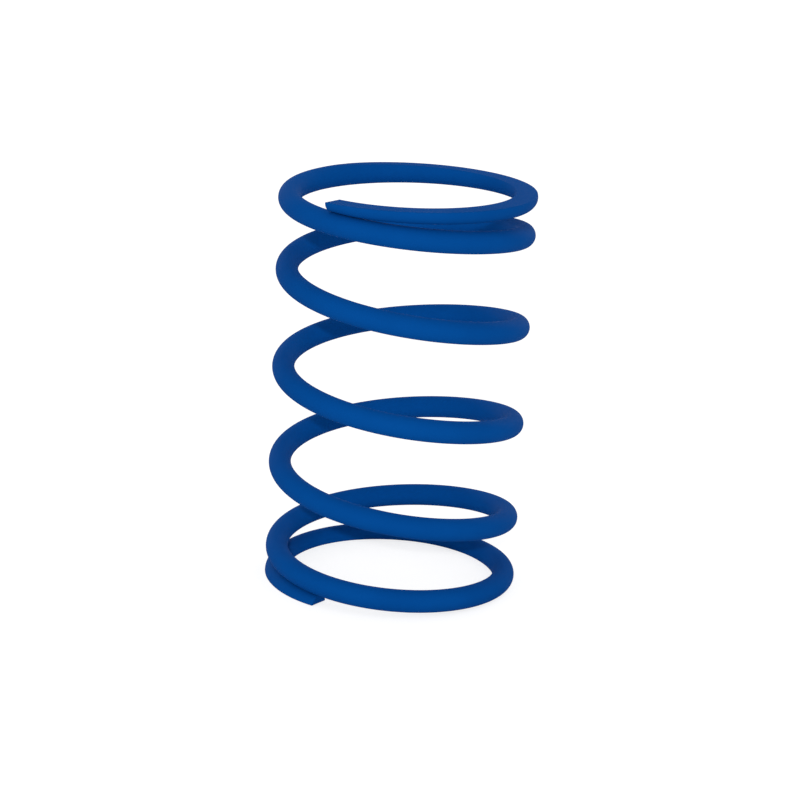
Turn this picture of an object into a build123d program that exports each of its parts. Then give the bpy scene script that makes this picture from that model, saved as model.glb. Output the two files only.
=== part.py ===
from build123d import *
import math
import os

# A cold-coiled compression spring of round wire for a die set, wound left-hand,
# with closed and ground ends. The origin is on the spring's axis in the plane of
# its lower seat, +Z runs up the axis, and -Y is its front. All in millimetres.

# Driving dimensions
outside_diameter = 48.0
wire_diameter = 4.2
free_length = 76.2  # ground seat to ground seat, unloaded
total_turns = 6.0
tip_azimuth = -127.0  # degrees from +X, where the wire starts and where it ends
closing_gap = 0.10  # left between each tip and the turn that it lies on

# Each end of the wire: turns from its tip over which the pitch stays at its least,
# turns from its tip at which the full pitch is reached, and the thickness that
# grinding leaves at the tip.
lower_flat_turns = 0.40
lower_full_turns = 1.80
lower_tip_thickness = 1.7
upper_flat_turns = 0.25
upper_full_turns = 2.00
upper_tip_thickness = 2.1

points_per_turn = 12  # exact points of the centre line in each turn

coil_radius = (outside_diameter - wire_diameter) / 2
wire_radius = wire_diameter / 2


def opened_turns(turns, flat_turns, full_turns):
    """Turns of full pitch that the opening coil is worth, counted from its tip.

    The pitch opens by the smooth step 3x^2 - 2x^3 between the two places given,
    and this is its integral."""
    opening = full_turns - flat_turns
    x = min(max((turns - flat_turns) / opening, 0.0), 1.0)
    return opening * (x**3 - x**4 / 2) + max(turns - full_turns, 0.0)


def closed_turns(flat_turns, full_turns):
    """Turns of closed height that one whole end is worth."""
    mean_turns = (flat_turns + full_turns) / 2
    return mean_turns / (1 - opened_turns(1, flat_turns, full_turns))


def tip_pitch(flat_turns, full_turns):
    """Least pitch of an end, with which its first turn closes onto its tip."""
    opened = opened_turns(1, flat_turns, full_turns)
    return (closed_pitch - full_pitch * opened) / (1 - opened)


# Heights of the wire's centre at the two tips, and the pitches that join them
lower_tip_height = lower_tip_thickness - wire_radius
upper_tip_height = free_length - upper_tip_thickness + wire_radius
closed_pitch = wire_diameter + closing_gap
lower_closed_turns = closed_turns(lower_flat_turns, lower_full_turns)
upper_closed_turns = closed_turns(upper_flat_turns, upper_full_turns)
end_turns = lower_closed_turns + upper_closed_turns
rise = upper_tip_height - lower_tip_height
full_pitch = (rise - closed_pitch * end_turns) / (total_turns - end_turns)
lower_pitch = tip_pitch(lower_flat_turns, lower_full_turns)
upper_pitch = tip_pitch(upper_flat_turns, upper_full_turns)


def centre_height(turns):
    """Height of the wire's centre, this many turns up from the lower tip."""
    left = total_turns - turns
    whole_upper = opened_turns(total_turns, upper_flat_turns, upper_full_turns)
    at_lower_pitch = turns - opened_turns(turns, lower_flat_turns, lower_full_turns)
    at_upper_pitch = turns - whole_upper + opened_turns(left, upper_flat_turns, upper_full_turns)
    at_full_pitch = turns - at_lower_pitch - at_upper_pitch
    climb = at_lower_pitch * lower_pitch + at_full_pitch * full_pitch + at_upper_pitch * upper_pitch
    return lower_tip_height + climb


def centre_point(turns):
    """Point on the wire's centre line. It goes clockwise as it climbs: left-hand."""
    azimuth = math.radians(tip_azimuth - 360 * turns)
    return Vector(coil_radius * math.cos(azimuth), coil_radius * math.sin(azimuth), centre_height(turns))


def tip_direction(turns, pitch):
    """Direction in which the wire runs through a tip."""
    azimuth = math.radians(tip_azimuth - 360 * turns)
    round_length = math.tau * coil_radius
    return Vector(round_length * math.sin(azimuth), -round_length * math.cos(azimuth), pitch)


def centre_line():
    """The wire's centre line, from the lower tip to the upper one."""
    count = round(total_turns * points_per_turn)
    points = [centre_point(total_turns * i / count) for i in range(count + 1)]
    ends = [tip_direction(0, lower_pitch), tip_direction(total_turns, upper_pitch)]
    return Spline(*points, tangents=ends, tangent_scalars=[1, 1])


def coiled_wire():
    """Round wire along the centre line, cut square at both tips."""
    path = centre_line()
    start = path @ 0
    outward = Vector(start.X, start.Y, 0)
    across_wire = Plane(origin=start, x_dir=outward, z_dir=path % 0)
    seam_below = Rotation(0, 0, -90)
    return sweep(across_wire * seam_below * Circle(wire_radius), path=path)


def ground_ends(wire):
    """Both ends ground flat, down to the planes of the two seats."""
    upright = (Align.CENTER, Align.CENTER, Align.MIN)
    between_seats = Cylinder(outside_diameter, free_length, align=upright)
    return wire & between_seats


spring_coil = ground_ends(coiled_wire())

os.makedirs("parts", exist_ok=True)
export_step(spring_coil, "parts/spring_coil.step")
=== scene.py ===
import math

import bpy
import numpy as np
from mathutils import Matrix, Vector


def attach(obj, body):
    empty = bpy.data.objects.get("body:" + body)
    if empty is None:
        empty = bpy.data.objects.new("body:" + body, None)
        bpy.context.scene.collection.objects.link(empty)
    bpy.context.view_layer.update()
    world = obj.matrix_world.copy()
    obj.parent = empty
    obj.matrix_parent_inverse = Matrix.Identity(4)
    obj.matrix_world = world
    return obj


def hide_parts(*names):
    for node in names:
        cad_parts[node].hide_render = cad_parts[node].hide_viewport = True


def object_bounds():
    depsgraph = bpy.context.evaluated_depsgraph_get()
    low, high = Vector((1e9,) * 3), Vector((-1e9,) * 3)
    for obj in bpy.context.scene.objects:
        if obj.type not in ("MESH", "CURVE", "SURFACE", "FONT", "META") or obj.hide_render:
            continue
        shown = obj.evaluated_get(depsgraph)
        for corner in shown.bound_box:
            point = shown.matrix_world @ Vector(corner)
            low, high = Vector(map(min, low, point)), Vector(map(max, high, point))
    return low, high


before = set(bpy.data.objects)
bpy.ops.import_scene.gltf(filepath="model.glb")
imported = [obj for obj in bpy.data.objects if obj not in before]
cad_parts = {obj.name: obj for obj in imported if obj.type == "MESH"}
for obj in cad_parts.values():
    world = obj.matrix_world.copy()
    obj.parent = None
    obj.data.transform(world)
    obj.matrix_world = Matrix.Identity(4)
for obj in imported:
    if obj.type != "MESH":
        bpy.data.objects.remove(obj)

cad_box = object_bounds()

MM = 0.001
scene = bpy.context.scene

# The spring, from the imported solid: its seats, its outside and its axis. The painted
# wire stays this far inside the solid's sides.
BOX_SKIN = 0.01 * MM
SEAT_BOTTOM = cad_box[0][2]
SEAT_TOP = cad_box[1][2]
BOX_WIDTH = min(cad_box[1][0] - cad_box[0][0], cad_box[1][1] - cad_box[0][1])
OUTSIDE_RADIUS = BOX_WIDTH / 2 - BOX_SKIN
AXIS = ((cad_box[0][0] + cad_box[1][0]) / 2, (cad_box[0][1] + cad_box[1][1]) / 2)

# The wire and how it is wound, left-hand from the lower tip to the upper one.
WIRE_RADIUS = 2.1 * MM
WHOLE_TURNS = 6
LOWER_TIP_AZIMUTH = -126.0
UPPER_TIP_AZIMUTH = -127.8
TURNS = WHOLE_TURNS + (LOWER_TIP_AZIMUTH - UPPER_TIP_AZIMUTH) / 360
COIL_RADIUS = OUTSIDE_RADIUS - WIRE_RADIUS
TURN_LENGTH = math.tau * COIL_RADIUS

# Each end: turns of least pitch, turns to the full pitch, thickness left at the tip.
LOWER_END = (0.30, 1.84)
LOWER_TIP = 1.65 * MM
UPPER_END = (0.20, 2.00)
UPPER_TIP = 1.90 * MM

# Each tip is pressed against the next turn, which bends it back a little.
CLOSING_GAP = 0.05 * MM
TIP_PRESS = 0.30 * MM
BEND_SOFTNESS = 0.10 * MM

# Edges left by grinding and by the square cut, rounded a little under the paint. The
# margin is the plain face that the mesh keeps beside each of them.
EDGE_RADIUS = 0.15 * MM
EDGE_MARGIN = 0.10 * MM

# Mesh density. The rings inside a cut face are given as shares of its size, and the slope
# of the wire is taken over a short step, in turns.
RINGS_PER_TURN = 180
SIDE_ROWS = 20
EDGE_STEPS = 3
FLAT_ROWS = 5
GROUP_ROWS = 2 * (EDGE_STEPS + 1) + FLAT_ROWS
FACE_RINGS = (1, 0.66, 0.33)
SLOPE_STEP = 1e-4

# Where a ground flat runs out, the angle of its corner climbs. From the first angle on the
# rows are an even circle, and over the second, just before it, they pass over to that.
UNCUT_CORNER = math.radians(75)
CORNER_BLEND = math.radians(12)

# Paint: its colour, the same in deeper patches, and where it is thin over an edge
PAINT = (0.0003, 0.0595, 0.2620, 1)
PAINT_DEEP = (0.0003, 0.0540, 0.2420, 1)
PAINT_THIN = (0.0010, 0.0500, 0.2150, 1)
PAINT_GLOSS = 0.02
PAINT_ROUGHNESS = (0.74, 0.86)
THIN_MOST = 0.6

# Grain of the paint and of the steel under it. A noise is its scale per metre, its detail
# and its roughness, a stretch draws it out along an axis, and a range is the part of its
# values that is used.
PEEL_NOISE = (1500.0, 2.0, 0.45)
DRAWN_NOISE = (2600.0, 2.0, 0.5)
DRAWN_STRETCH = (1.0, 1.0, 0.03)
LAY_NOISE = (4200.0, 2.0, 0.6)
LAY_STRETCH = (0.04, 1.0, 0.0)
PATCH_NOISE = (70.0, 3.0, 0.55)
PATCH_RANGE = (0.35, 0.65)
PEEL_RANGE = (0.4, 0.7)
UNEVENNESS_RANGE = (0.5, 1.0)
PEEL_IN_ROUGHNESS = 0.5
LINES_IN_RELIEF = 0.6
RELIEF_DEPTH = 0.006 * MM

# The floor lies a little under the lower seat, so that the two planes never coincide. It
# lights the spring as white paper does, and is shown as grey with a glow of its own, which
# looks white and still takes a shadow.
FLOOR_GAP = 0.05 * MM
FLOOR_SIZE = 4
FLOOR_PLAIN = 0.85
FLOOR_SHOWN = 0.38
FLOOR_GLOW = 0.74

# Strength of the surroundings, as light and as what is shown
WORLD_LIGHT = 0.75
WORLD_SHOWN = 1.0
WHITE = (1, 1, 1, 1)

# Lamps: name, azimuth and rise in degrees, distance and size in metres, power in watts
LAMPS = (
    ("key", -92, 21, 1.0, 0.03, 4.1),
    ("rear_right", 62, 12, 1.0, 0.30, 1.2),
    ("rear_left", 118, 12, 1.0, 0.30, 1.2),
)

# Camera: how far up and rolled it stands, how far off, and where it aims
CAMERA_RISE = math.radians(16.11)
CAMERA_ROLL = math.radians(-2.90)
CAMERA_DISTANCE = 0.4635
CAMERA_AIM = Vector((0.00040, 0, 0.03502))
CAMERA_LENS = 110.24
SENSOR_WIDTH = 36.0
CAMERA_CLIP = 0.01


def opened(turns, end):
    """Turns of full pitch that an opening end is worth, counted from its tip."""
    flat, full = end
    x = np.clip((turns - flat) / (full - flat), 0, 1)
    return (full - flat) * (x**3 - x**4 / 2) + np.maximum(turns - full, 0)


def bend(rise):
    """How far the wire is bent off the next turn, from the winding's rise to it."""
    buried = 2 * WIRE_RADIUS + CLOSING_GAP - rise
    return (buried + np.hypot(buried, BEND_SOFTNESS)) / 2


def centre_heights(turns):
    """Height of the wire's centre, this many turns up from the lower tip."""
    wound = 2 * WIRE_RADIUS + CLOSING_GAP - TIP_PRESS
    start = SEAT_BOTTOM + LOWER_TIP - WIRE_RADIUS + bend(wound)
    finish = SEAT_TOP - UPPER_TIP + WIRE_RADIUS - bend(wound)
    lower_open, upper_open = opened(1, LOWER_END), opened(1, UPPER_END)
    lower_turns = sum(LOWER_END) / 2 / (1 - lower_open)
    upper_turns = sum(UPPER_END) / 2 / (1 - upper_open)
    closed = lower_turns + upper_turns
    full = (finish - start - wound * closed) / (TURNS - closed)
    lower = (wound - full * lower_open) / (1 - lower_open)
    upper = (wound - full * upper_open) / (1 - upper_open)

    def winding(t):
        at_lower = t - opened(t, LOWER_END)
        at_upper = t - opened(TURNS, UPPER_END) + opened(TURNS - t, UPPER_END)
        return start + at_lower * lower + at_upper * upper + (t - at_lower - at_upper) * full

    height = winding(turns)
    off_above = np.where(turns < 1, bend(winding(turns + 1) - height), 0)
    off_below = np.where(turns > TURNS - 1, bend(height - winding(turns - 1)), 0)
    return height - off_above + off_below


def crown(x, plane, edge):
    """Height of the ground section over x: the flat, its rounded edge, or the round wire."""
    side = np.abs(x)
    round_wire = np.sqrt(np.maximum(WIRE_RADIUS**2 - side**2, 0))
    rounding = plane - EDGE_RADIUS + np.sqrt(np.maximum(EDGE_RADIUS**2 - (side - edge)**2, 0))
    reach = edge * WIRE_RADIUS / (WIRE_RADIUS - EDGE_RADIUS)
    return np.where(side <= edge, plane, np.where(side <= reach, rounding, round_wire))


def ground_group(plane):
    """Rows over one side of the section, where a seat plane this far off may cut it.

    Gives the points from right to left, and how far each lies on the flat and on an edge."""
    spread = np.linspace(UNCUT_CORNER, math.pi - UNCUT_CORNER, GROUP_ROWS)
    even_x = WIRE_RADIUS * np.cos(spread)
    none = np.zeros(GROUP_ROWS)
    if plane >= WIRE_RADIUS:
        return even_x, WIRE_RADIUS * np.sin(spread), none, none
    edge = math.sqrt((WIRE_RADIUS - EDGE_RADIUS)**2 - (plane - EDGE_RADIUS)**2)
    corner = math.atan2(plane - EDGE_RADIUS, edge)
    turn = np.linspace(corner, math.pi / 2, EDGE_STEPS + 1)
    edge_x = edge + EDGE_RADIUS * np.cos(turn)
    edge_y = plane - EDGE_RADIUS + EDGE_RADIUS * np.sin(turn)
    margin = min(EDGE_MARGIN, edge / 4)
    flat_x = np.linspace(edge - margin, margin - edge, FLAT_ROWS)
    x = np.concatenate([edge_x, flat_x, -edge_x[::-1]])
    y = np.concatenate([edge_y, np.full(FLAT_ROWS, plane), edge_y[::-1]])
    narrow = min(max((corner - UNCUT_CORNER + CORNER_BLEND) / CORNER_BLEND, 0), 1)
    narrow = narrow**2 * (3 - 2 * narrow)
    if narrow > 0:
        x = x + (even_x - x) * narrow
        y = crown(x, plane, edge)
    flat = np.clip(1 - (np.abs(x) - edge) / EDGE_RADIUS, 0, 1) * (1 - narrow)
    worn = np.concatenate([np.ones(EDGE_STEPS + 1), np.zeros(FLAT_ROWS), np.ones(EDGE_STEPS + 1)])
    return x, y, flat, worn * (1 - narrow)


def side_rows(low, high):
    """Rows round the wire's side between two angles, without the ends."""
    angles = np.linspace(low, high, SIDE_ROWS + 2)[1:-1]
    return WIRE_RADIUS * np.cos(angles), WIRE_RADIUS * np.sin(angles)


def section(above, below):
    """Outline of the wire, cut by the seats this far above and below its centre."""
    top_x, top_y, top_flat, top_worn = ground_group(above)
    low_x, low_y, low_flat, low_worn = (row[::-1] for row in ground_group(below))
    low_y = -low_y
    right = side_rows(math.atan2(low_y[-1], low_x[-1]), math.atan2(top_y[0], top_x[0]))
    left = (-right[0][::-1], right[1][::-1])
    plain = np.zeros(SIDE_ROWS)
    x = np.concatenate([right[0], top_x, left[0], low_x])
    y = np.concatenate([right[1], top_y, left[1], low_y])
    flat = np.concatenate([plain, top_flat, plain, low_flat])
    worn = np.concatenate([plain, top_worn, plain, low_worn])
    return np.stack([x, y], 1), flat, worn


def drawn_in(outline, depth):
    """The outline, drawn in towards its middle by this much."""
    inward = outline.mean(0) - outline
    return outline + inward / np.linalg.norm(inward, axis=1)[:, None] * depth


def stations():
    """Turns and inset of every ring, from the lower tip's face to the upper one's."""
    rounding = []
    for step in range(EDGE_STEPS + 1, 0, -1):
        angle = math.pi / 2 * step / (EDGE_STEPS + 1)
        back = EDGE_RADIUS * (1 - math.sin(angle)) / TURN_LENGTH
        rounding.append((back, EDGE_RADIUS * (1 - math.cos(angle))))
    first = EDGE_RADIUS / TURN_LENGTH
    count = round(TURNS * RINGS_PER_TURN)
    body = [(first + (TURNS - 2 * first) * i / count, 0.0) for i in range(count + 1)]
    return rounding + body + [(TURNS - turn, inset) for turn, inset in reversed(rounding)]


def wire_frames(turns):
    """Centre, outward and upward directions, and length run, at each place on the wire."""
    azimuth = math.radians(LOWER_TIP_AZIMUTH) - math.tau * turns
    rise = centre_heights(turns + SLOPE_STEP) - centre_heights(turns - SLOPE_STEP)
    climb = rise / (2 * SLOPE_STEP)
    out = np.stack([np.cos(azimuth), np.sin(azimuth), 0 * azimuth], 1)
    along = np.stack([TURN_LENGTH * np.sin(azimuth), -TURN_LENGTH * np.cos(azimuth), climb], 1)
    length = np.linalg.norm(along, axis=1)
    along /= length[:, None]
    centre = COIL_RADIUS * out
    centre[:, 0] += AXIS[0]
    centre[:, 1] += AXIS[1]
    centre[:, 2] = centre_heights(turns)
    run = np.cumsum((length[1:] + length[:-1]) / 2 * np.diff(turns))
    return centre, out, np.cross(along, out), np.concatenate([[0], run])


def face_rings(outline):
    """Rings inside a square-cut face, from its rim inwards."""
    inner = drawn_in(outline, EDGE_MARGIN)
    middle = inner.mean(0)
    return [middle + (inner - middle) * share for share in FACE_RINGS]


def tube_faces(ring_count, rows):
    """Quads between the rings, and a fan round each end's middle point."""
    here = np.arange(rows)
    beside = (here + 1) % rows
    ring = np.arange(ring_count - 1)[:, None] * rows
    corners = [ring + here, ring + beside, ring + rows + beside, ring + rows + here]
    quads = np.stack(corners, -1).reshape(-1, 4)
    top = (ring_count - 1) * rows
    middle = ring_count * rows
    fans = [(middle, int(b), int(a)) for a, b in zip(here, beside)]
    fans += [(middle + 1, int(top + a), int(top + b)) for a, b in zip(here, beside)]
    return quads.tolist() + fans


def coil_mesh():
    """The painted wire: one closed mesh, with its straightened length kept as an attribute."""
    turns, insets = np.array(stations()).T
    centre, out, up, run = wire_frames(turns)
    points, straight, flats, worns = [], [], [], []

    def add_ring(i, outline, flat, worn):
        points.append(centre[i] + outline[:, :1] * out[i] + outline[:, 1:] * up[i])
        straight.append(np.column_stack([outline, np.full(len(outline), run[i])]))
        flats.append(flat)
        worns.append(worn)

    last = len(turns) - 1
    for i, inset in enumerate(insets):
        above = (SEAT_TOP - centre[i, 2]) / up[i, 2]
        below = (centre[i, 2] - SEAT_BOTTOM) / up[i, 2]
        outline, flat, worn = section(above, below)
        if inset > 0:
            outline = drawn_in(outline, inset)
            worn = np.ones(len(outline))
        face = face_rings(outline) if i in (0, last) else []
        if i == 0:
            for ring in reversed(face):
                add_ring(i, ring, 0 * flat, 0 * worn)
        add_ring(i, outline, flat, worn)
        if i == last:
            for ring in face:
                add_ring(i, ring, 0 * flat, 0 * worn)

    vertices = np.vstack([np.concatenate(points), points[0].mean(0), points[-1].mean(0)])
    mesh = bpy.data.meshes.new("painted_coil")
    mesh.from_pydata(vertices.tolist(), [], tube_faces(len(points), len(points[0])))
    mesh.shade_smooth()
    ends = np.vstack([straight[0].mean(0), straight[-1].mean(0)])
    wire = mesh.attributes.new("straight_wire", "FLOAT_VECTOR", "POINT")
    wire.data.foreach_set("vector", np.vstack(straight + [ends]).ravel())
    for name, values in (("ground", flats), ("edge", worns)):
        attribute = mesh.attributes.new(name, "FLOAT", "POINT")
        attribute.data.foreach_set("value", np.concatenate(values + [[0, 0]]))
    mesh.validate()
    mesh.update()
    return mesh


class Nodes:
    """A short way to write a node tree."""

    def __init__(self, tree):
        self.tree = tree

    def add(self, kind, settings=None, **inputs):
        node = self.tree.nodes.new(kind)
        for name, value in (settings or {}).items():
            setattr(node, name, value)
        for name, value in inputs.items():
            self.put(node, name.replace("_", " "), value)
        return node

    def put(self, node, name, value):
        socket = node.inputs[int(name)] if name.isdigit() else node.inputs[name]
        if isinstance(value, bpy.types.NodeSocket):
            self.tree.links.new(value, socket)
        else:
            socket.default_value = value

    def math(self, operation, first, second):
        node = self.add("ShaderNodeMath", {"operation": operation})
        self.put(node, "0", first)
        self.put(node, "1", second)
        return node.outputs[0]

    def stretched(self, source, stretch):
        node = self.add("ShaderNodeVectorMath", {"operation": "MULTIPLY"})
        self.put(node, "0", source)
        self.put(node, "1", stretch)
        return node.outputs[0]

    def noise(self, source, scale, detail, roughness):
        node = self.add("ShaderNodeTexNoise", Vector=source, Scale=scale, Detail=detail,
                        Roughness=roughness)
        return node.outputs["Fac"]

    def spread(self, value, low, high, to_low, to_high):
        """The value, mapped from one range to another and held within it."""
        node = self.add("ShaderNodeMapRange", Value=value, From_Min=low, From_Max=high,
                        To_Min=to_low, To_Max=to_high)
        return node.outputs[0]

    def mix(self, share, first, second):
        """Two colours, mixed."""
        node = self.add("ShaderNodeMix", {"data_type": "RGBA"})
        for socket, value in ((0, share), (6, first), (7, second)):
            self.put(node, str(socket), value)
        return node.outputs[2]

    def mix_shaders(self, share, first, second):
        node = self.add("ShaderNodeMixShader")
        for socket, value in ((0, share), (1, first), (2, second)):
            self.put(node, str(socket), value)
        return node.outputs[0]


def new_material(name):
    material = bpy.data.materials.new(name)
    material.use_nodes = True
    material.node_tree.nodes.clear()
    return material, Nodes(material.node_tree)


def paint_material():
    """Matt blue enamel on drawn wire: orange peel, drawing lines and ground seats beneath."""
    material, nodes = new_material("blue_paint")
    place = nodes.add("ShaderNodeTexCoord").outputs["Object"]
    wire = nodes.add("ShaderNodeAttribute", {"attribute_name": "straight_wire"}).outputs["Vector"]
    ground = nodes.add("ShaderNodeAttribute", {"attribute_name": "ground"}).outputs["Fac"]
    edge = nodes.add("ShaderNodeAttribute", {"attribute_name": "edge"}).outputs["Fac"]

    peel = nodes.noise(place, *PEEL_NOISE)
    drawn = nodes.noise(nodes.stretched(wire, DRAWN_STRETCH), *DRAWN_NOISE)
    lay = nodes.noise(nodes.stretched(place, LAY_STRETCH), *LAY_NOISE)
    patch = nodes.noise(place, *PATCH_NOISE)

    film = nodes.mix(nodes.spread(patch, *PATCH_RANGE, 0.0, 1.0), PAINT, PAINT_DEEP)
    thinned = nodes.math("MULTIPLY", edge, nodes.spread(peel, *PEEL_RANGE, 0.0, THIN_MOST))
    film = nodes.mix(thinned, film, PAINT_THIN)
    unevenness = nodes.math("ADD", patch, nodes.math("MULTIPLY", peel, PEEL_IN_ROUGHNESS))
    rough = nodes.spread(unevenness, *UNEVENNESS_RANGE, *PAINT_ROUGHNESS)

    on_round = nodes.math("MULTIPLY", drawn, nodes.math("SUBTRACT", 1.0, ground))
    lines = nodes.math("ADD", on_round, nodes.math("MULTIPLY", lay, ground))
    relief = nodes.math("ADD", peel, nodes.math("MULTIPLY", lines, LINES_IN_RELIEF))
    bump = nodes.add("ShaderNodeBump", Strength=1.0, Distance=RELIEF_DEPTH, Height=relief)

    surface = nodes.add("ShaderNodeBsdfPrincipled", Base_Color=film, Roughness=rough,
                        Normal=bump.outputs[0])
    surface.inputs["Specular IOR Level"].default_value = PAINT_GLOSS
    nodes.add("ShaderNodeOutputMaterial", Surface=surface.outputs[0])
    return material


def seen_directly(nodes):
    """1 for what the camera, a reflection or a clear piece shows of the surroundings."""
    path = nodes.add("ShaderNodeLightPath")
    seen = nodes.math("MAXIMUM", path.outputs["Is Camera Ray"], path.outputs["Is Glossy Ray"])
    return nodes.math("MAXIMUM", seen, path.outputs["Is Transmission Ray"])


def floor_material():
    """White paper that keeps a light shadow."""
    material, nodes = new_material("floor_paper")
    plain = nodes.add("ShaderNodeBsdfDiffuse", Color=(FLOOR_PLAIN, FLOOR_PLAIN, FLOOR_PLAIN, 1))
    shown = nodes.add("ShaderNodeBsdfDiffuse", Color=(FLOOR_SHOWN, FLOOR_SHOWN, FLOOR_SHOWN, 1))
    glow = nodes.add("ShaderNodeEmission", Color=WHITE, Strength=FLOOR_GLOW)
    both = nodes.add("ShaderNodeAddShader")
    nodes.put(both, "0", shown.outputs[0])
    nodes.put(both, "1", glow.outputs[0])
    surface = nodes.mix_shaders(seen_directly(nodes), plain.outputs[0], both.outputs[0])
    nodes.add("ShaderNodeOutputMaterial", Surface=surface)
    return material


def add_floor():
    bpy.ops.mesh.primitive_plane_add(size=FLOOR_SIZE, location=(0, 0, SEAT_BOTTOM - FLOOR_GAP))
    floor = bpy.context.object
    floor.name = "floor"
    floor.data.materials.append(floor_material())


def add_world():
    """Even white surroundings, a little below full strength for all but direct views."""
    world = bpy.data.worlds.new("studio")
    scene.world = world
    world.use_nodes = True
    world.node_tree.nodes.clear()
    nodes = Nodes(world.node_tree)
    around = nodes.add("ShaderNodeBackground", Color=WHITE, Strength=WORLD_LIGHT)
    shown = nodes.add("ShaderNodeBackground", Color=WHITE, Strength=WORLD_SHOWN)
    surface = nodes.mix_shaders(seen_directly(nodes), around.outputs[0], shown.outputs[0])
    nodes.add("ShaderNodeOutputWorld", Surface=surface)


def add_lamp(name, azimuth, rise, distance, size, power):
    """A round soft lamp, aimed at the middle of the spring."""
    data = bpy.data.lights.new(name, "AREA")
    data.shape = "DISK"
    data.size = size
    data.energy = power
    lamp = bpy.data.objects.new(name, data)
    scene.collection.objects.link(lamp)
    turn, lift = math.radians(azimuth), math.radians(rise)
    back = Vector((math.cos(turn) * math.cos(lift), math.sin(turn) * math.cos(lift), math.sin(lift)))
    middle = Vector((0, 0, (SEAT_BOTTOM + SEAT_TOP) / 2))
    lamp.location = middle + back * distance
    lamp.rotation_euler = back.to_track_quat("Z", "Y").to_euler()


def add_camera():
    data = bpy.data.cameras.new("camera")
    data.lens = CAMERA_LENS
    data.sensor_width = SENSOR_WIDTH
    data.clip_start = CAMERA_CLIP
    camera = bpy.data.objects.new("camera", data)
    scene.collection.objects.link(camera)
    back = Vector((0, -math.cos(CAMERA_RISE), math.sin(CAMERA_RISE)))
    up = Vector((0, math.sin(CAMERA_RISE), math.cos(CAMERA_RISE)))
    right = Vector((1, 0, 0))
    camera_right = right * math.cos(CAMERA_ROLL) - up * math.sin(CAMERA_ROLL)
    camera_up = right * math.sin(CAMERA_ROLL) + up * math.cos(CAMERA_ROLL)
    turned = Matrix((camera_right, camera_up, back)).transposed().to_4x4()
    camera.matrix_world = Matrix.Translation(CAMERA_AIM + back * CAMERA_DISTANCE) @ turned
    scene.camera = camera


piece = bpy.data.objects.new("painted_coil", coil_mesh())
scene.collection.objects.link(piece)
piece.data.materials.append(paint_material())
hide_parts("spring_coil")
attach(piece, "root")

add_floor()
add_world()
for lamp_values in LAMPS:
    add_lamp(*lamp_values)
add_camera()
scene.view_settings.view_transform = "Standard"
